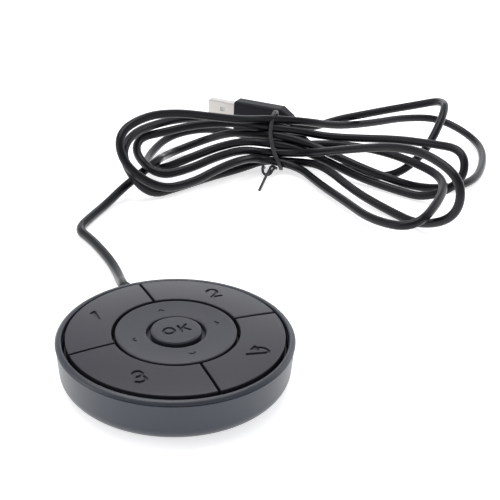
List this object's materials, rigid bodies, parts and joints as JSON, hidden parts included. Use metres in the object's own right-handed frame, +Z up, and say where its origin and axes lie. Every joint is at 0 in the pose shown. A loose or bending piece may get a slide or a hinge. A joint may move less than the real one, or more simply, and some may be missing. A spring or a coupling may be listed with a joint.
{
  "type": "desk hotkey puck",
  "caption": "Round corded desk puck with sector keys, a rocking navigation ring and an OK button, its thin cable tied in a hank that ends in a USB plug.",
  "frame": {"origin": "centre of the puck on the surface that its rubber foot stands on", "axes": "+Z up, +Y from the puck's centre to the cable's exit, +X to the right of a user who has the cable pointing away"},
  "size_m": [0.2382, 0.2334, 0.032],
  "materials": {
    "case_plastic": "fine spark-eroded matt",
    "bezel_plastic": "satin edge",
    "key_plastic": "fine matt",
    "nav_plastic": "satin",
    "ok_plastic": "satin",
    "foot_rubber": "matt",
    "relief_rubber": "satin",
    "cable_sheath": "satin PVC",
    "tie_sheath": "satin",
    "frame_plastic": "moulded",
    "board": "solder mask",
    "switch_body": "moulded",
    "stem_plastic": "moulded",
    "chip": "matt epoxy",
    "header_plastic": "moulded",
    "lead_sheath": "satin",
    "screw_steel": "zinc plated",
    "plug_plastic": "satin moulded PVC",
    "plug_steel": "nickel plated",
    "tongue_plastic": "moulded",
    "contact_gold": "gold plated"
  },
  "bodies": {
    "case": {"lower_case": "case_plastic", "foot_ring": "foot_rubber", "rim_bezel": "bezel_plastic", "key_frame": "frame_plastic", "circuit_board": "board", "key_switches": "switch_body", "nav_switches": "switch_body", "ok_switch": "switch_body", "microcontroller": "chip", "wire_header": "header_plastic", "inner_leads": "lead_sheath", "inner_cable": "cable_sheath", "strain_relief": "relief_rubber", "cable_clamp": "frame_plastic", "clamp_screws": "screw_steel", "case_screws": "screw_steel", "board_screws": "screw_steel", "cable_lead": "cable_sheath", "cable_hank": "cable_sheath", "hank_tie": "tie_sheath", "plug_overmould": "plug_plastic", "plug_shell": "plug_steel", "plug_tongue": "tongue_plastic", "plug_contacts": "contact_gold"},
    "key_1": {"key_1": "key_plastic", "key_1_stem": "stem_plastic"},
    "key_2": {"key_2": "key_plastic", "key_2_stem": "stem_plastic"},
    "key_3": {"key_3": "key_plastic", "key_3_stem": "stem_plastic"},
    "key_back": {"key_back": "key_plastic", "key_back_stem": "stem_plastic"},
    "ok_button": {"ok_button": "ok_plastic", "ok_stem": "stem_plastic"},
    "nav_gimbal": {"nav_gimbal": "frame_plastic"},
    "nav_ring": {"nav_ring": "nav_plastic", "nav_hub": "frame_plastic"},
    "nav_stem_right": {"nav_stem_right": "stem_plastic"},
    "nav_stem_up": {"nav_stem_up": "stem_plastic"},
    "nav_stem_left": {"nav_stem_left": "stem_plastic"},
    "nav_stem_down": {"nav_stem_down": "stem_plastic"}
  },
  "joints": [
    {"name": "key_1_press", "type": "slide", "parent": "case", "child": "key_1", "axis": [0, 0, -1], "range_m": [0, 0.0005], "stiffness_N_per_m": 1200},
    {"name": "key_2_press", "type": "slide", "parent": "case", "child": "key_2", "axis": [0, 0, -1], "range_m": [0, 0.0005], "stiffness_N_per_m": 1200},
    {"name": "key_3_press", "type": "slide", "parent": "case", "child": "key_3", "axis": [0, 0, -1], "range_m": [0, 0.0005], "stiffness_N_per_m": 1200},
    {"name": "key_back_press", "type": "slide", "parent": "case", "child": "key_back", "axis": [0, 0, -1], "range_m": [0, 0.0005], "stiffness_N_per_m": 1200},
    {"name": "ok_button_press", "type": "slide", "parent": "case", "child": "ok_button", "axis": [0, 0, -1], "range_m": [0, 0.0005], "stiffness_N_per_m": 1200},
    {"name": "nav_pitch", "type": "hinge", "parent": "case", "child": "nav_gimbal", "pos_m": [0, 0, 0.01145], "axis": [1, 0, 0], "range_deg": [-1.5, 1.5], "stiffness_Nm_per_rad": 0.3},
    {"name": "nav_roll", "type": "hinge", "parent": "nav_gimbal", "child": "nav_ring", "pos_m": [0, 0, 0.01145], "axis": [0, 1, 0], "range_deg": [-1.5, 1.5], "stiffness_Nm_per_rad": 0.3},
    {"name": "nav_stem_right_slide", "type": "slide", "parent": "case", "child": "nav_stem_right", "axis": [0, 0, 1], "range_m": [-0.00034, 0.00034]},
    {"name": "nav_stem_left_slide", "type": "slide", "parent": "case", "child": "nav_stem_left", "axis": [0, 0, 1], "range_m": [-0.00034, 0.00034]},
    {"name": "nav_stem_up_slide", "type": "slide", "parent": "case", "child": "nav_stem_up", "axis": [0, 0, 1], "range_m": [-0.00034, 0.00034]},
    {"name": "nav_stem_down_slide", "type": "slide", "parent": "case", "child": "nav_stem_down", "axis": [0, 0, 1], "range_m": [-0.00034, 0.00034]}
  ],
  "couplings": [
    {"joint": "nav_stem_right_slide", "follows": "nav_roll", "m_per_rad": -0.0125},
    {"joint": "nav_stem_left_slide", "follows": "nav_roll", "m_per_rad": 0.0125},
    {"joint": "nav_stem_up_slide", "follows": "nav_pitch", "m_per_rad": 0.0125},
    {"joint": "nav_stem_down_slide", "follows": "nav_pitch", "m_per_rad": -0.0125}
  ]
}
